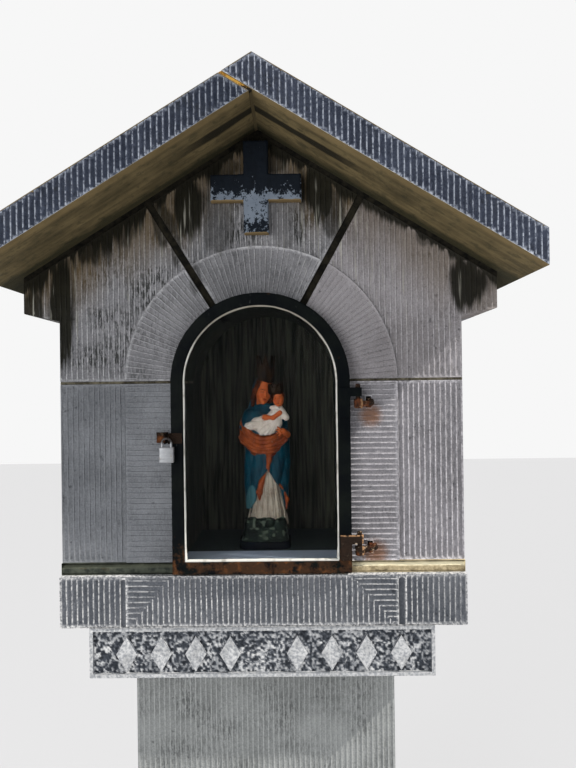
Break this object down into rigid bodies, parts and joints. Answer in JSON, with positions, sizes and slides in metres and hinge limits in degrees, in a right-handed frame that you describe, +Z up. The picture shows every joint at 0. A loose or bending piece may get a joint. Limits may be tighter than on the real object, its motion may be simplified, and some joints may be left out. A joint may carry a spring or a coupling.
{
  "type": "wayside shrine",
  "caption": "Stone wayside shrine on a pedestal, with a gabled slab roof and a glazed iron door before an arched niche holding a painted statue.",
  "frame": {"origin": "middle of the pedestal's foot, on the ground", "axes": "+Z up, -Y out of the front with its niche and door, +X to the viewer's right"},
  "size_m": [1.012, 0.568, 2.074],
  "materials": {
    "bluestone": "tooled and weathered blue-grey limestone",
    "mortar": "dark weathered lime mortar",
    "cross_paint": "whitewashed stone with dark lichen",
    "door_iron": "old dark blue-black paint, rusting",
    "rusty_iron": "rusted wrought iron",
    "door_glass": "clear window pane",
    "putty": "white glazing putty",
    "padlock_steel": "pale worn steel",
    "plaster_black": "painted plaster, black",
    "plaster_rock": "painted plaster, mottled grey-green",
    "plaster_cream": "painted plaster, cream",
    "plaster_teal": "painted plaster, teal blue",
    "plaster_orange": "painted plaster, orange brown",
    "plaster_white": "painted plaster, off-white",
    "plaster_skin": "painted plaster, warm skin tone",
    "plaster_crown": "painted plaster, dark brown with worn gilding"
  },
  "bodies": {
    "root": {"pedestal": "bluestone", "plaque_block": "bluestone", "ledge": "bluestone", "sill_bed": "mortar", "left_jamb": "bluestone", "right_jamb": "bluestone", "left_haunch": "bluestone", "right_haunch": "bluestone", "keystone": "bluestone", "cross": "cross_paint", "left_key_joint": "mortar", "right_key_joint": "mortar", "left_bed_joint": "mortar", "right_bed_joint": "mortar", "left_cheek": "bluestone", "right_cheek": "bluestone", "rear_gable": "bluestone", "back_slab": "bluestone", "roof_left": "bluestone", "roof_right": "bluestone", "ridge_joint": "mortar", "left_roof_bed": "mortar", "right_roof_bed": "mortar", "upper_pintle": "rusty_iron", "lower_pintle": "rusty_iron", "wall_staple": "rusty_iron", "statue_base": "plaster_black", "statue_rock": "plaster_rock", "statue_robe": "plaster_cream", "statue_cloak": "plaster_teal", "statue_drape": "plaster_orange", "child_dress": "plaster_white", "mother_head": "plaster_skin", "mother_crown": "plaster_crown", "child_head": "plaster_skin", "child_crown": "plaster_crown"},
    "door": {"door_frame": "door_iron", "door_glass": "door_glass", "door_putty": "putty", "door_upper_hinge": "door_iron", "door_lower_hinge": "door_iron", "door_hasp": "rusty_iron"},
    "padlock": {"padlock_body": "padlock_steel", "padlock_shackle": "padlock_steel"}
  },
  "joints": [
    {"name": "door_hinge", "type": "hinge", "parent": "root", "child": "door", "pos_m": [0.19, -0.238, 1.35], "axis": [0, 0, 1], "range_deg": [0, 115]},
    {"name": "padlock_swing", "type": "hinge", "parent": "door", "child": "padlock", "pos_m": [-0.1804, -0.254, 1.399], "axis": [-1, 0, 0], "range_deg": [0, 70]}
  ]
}
